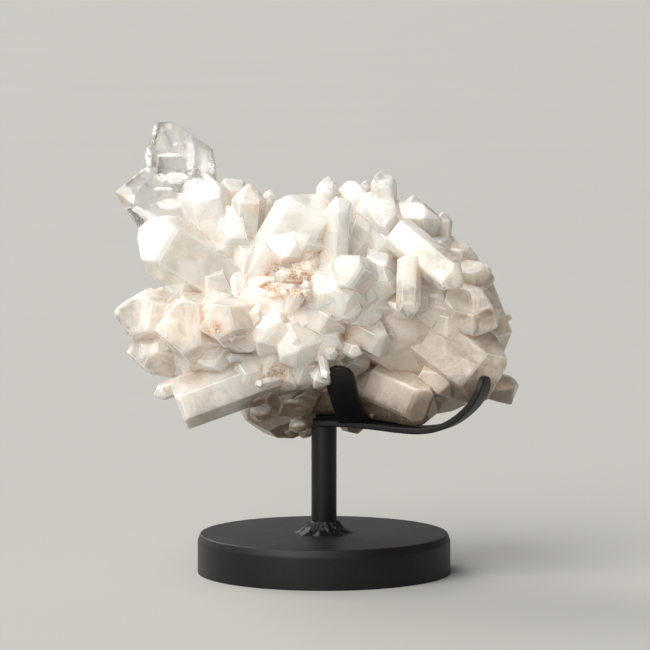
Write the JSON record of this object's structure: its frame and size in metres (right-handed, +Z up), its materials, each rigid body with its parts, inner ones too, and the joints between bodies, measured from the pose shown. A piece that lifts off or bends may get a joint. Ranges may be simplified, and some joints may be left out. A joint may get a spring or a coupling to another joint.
{
  "type": "quartz crystal",
  "caption": "Quartz crystal cluster of intergrown six-sided points, lying in a black steel stand with a round base, a short post and curved cradle arms.",
  "frame": {"origin": "centre of the base disc's underside, on the post's axis", "axes": "+Z up along the post, -Y towards the front that the picture shows, +X to the right in it"},
  "size_m": [0.2023, 0.1289, 0.2265],
  "materials": {
    "black_paint": "satin black powder coat with a fine grain",
    "quartz": "natural crystal faces, milky inside, water-clear at the upper left points, iron stained in the crevices"
  },
  "bodies": {
    "root": {"base_disc": "black_paint", "post": "black_paint", "foot_weld": "black_paint", "right_arm": "black_paint", "front_arm": "black_paint", "rear_arm": "black_paint", "quartz_cluster": "quartz"}
  },
  "joints": []
}
